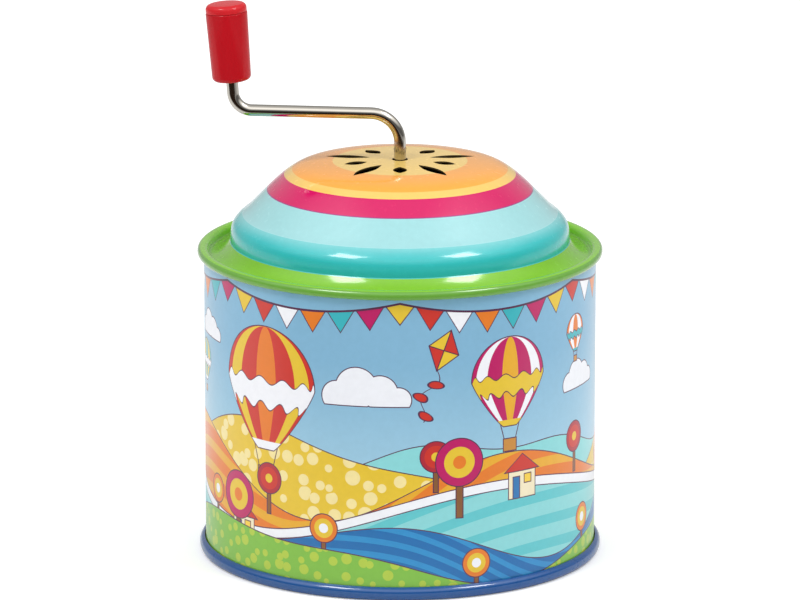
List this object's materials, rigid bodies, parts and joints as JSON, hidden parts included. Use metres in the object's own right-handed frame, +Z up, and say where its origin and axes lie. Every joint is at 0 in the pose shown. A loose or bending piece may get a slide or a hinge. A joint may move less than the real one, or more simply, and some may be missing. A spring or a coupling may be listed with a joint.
{
  "type": "music box",
  "caption": "Hand-cranked music box in a round printed tin, with a striped domed lid, a bent wire crank with a red grip and a comb movement inside.",
  "frame": {"origin": "middle of the foot ring, on the surface that the tin stands on", "axes": "+Z up along the can and the crank's shaft, -X towards the grip at rest, -Y the side shown in the picture"},
  "size_m": [0.075, 0.075, 0.1034],
  "materials": {
    "printed_body": "gloss print on tinplate",
    "printed_lid": "gloss print on tinplate",
    "printed_base": "gloss print on tinplate",
    "plated_wire": "bright nickel plate",
    "red_grip": "moulded, half gloss",
    "cast_bed": "die-cast zinc, as cast",
    "bracket_steel": "stamped and plated",
    "spring_steel": "ground",
    "drum_brass": "turned"
  },
  "bodies": {
    "tin": {"can_body": "printed_body", "dome_lid": "printed_lid", "base_cover": "printed_base", "base_screw_1": "bracket_steel", "base_screw_2": "bracket_steel", "base_screw_3": "bracket_steel", "bedplate": "cast_bed", "post_front": "bracket_steel", "post_rear": "bracket_steel", "post_screw_1": "bracket_steel", "post_screw_2": "bracket_steel", "worm_bracket": "bracket_steel", "bracket_screw_1": "bracket_steel", "bracket_screw_2": "bracket_steel", "comb": "spring_steel", "comb_screw_1": "bracket_steel", "comb_screw_2": "bracket_steel"},
    "crank": {"crank_wire": "plated_wire", "worm": "drum_brass", "shaft_clip": "bracket_steel", "grip_nut": "bracket_steel"},
    "grip": {"grip_sleeve": "red_grip", "grip_cap": "red_grip"},
    "drum": {"drum_shell": "drum_brass", "drum_cap_front": "drum_brass", "drum_cap_rear": "drum_brass", "drum_axle": "spring_steel", "worm_wheel": "cast_bed"}
  },
  "joints": [
    {"name": "crank_turn", "type": "hinge", "parent": "tin", "child": "crank", "pos_m": [0, 0, 0.0224], "axis": [0, 0, 1], "continuous": true},
    {"name": "grip_spin", "type": "hinge", "parent": "crank", "child": "grip", "pos_m": [-0.03071, 0, 0.08639], "axis": [-0.0741, 0, 0.9973], "continuous": true},
    {"name": "drum_turn", "type": "hinge", "parent": "tin", "child": "drum", "pos_m": [0.011, 0, 0.016], "axis": [0, 1, 0], "continuous": true}
  ],
  "couplings": [
    {"joint": "drum_turn", "follows": "crank_turn", "ratio": -0.05}
  ]
}
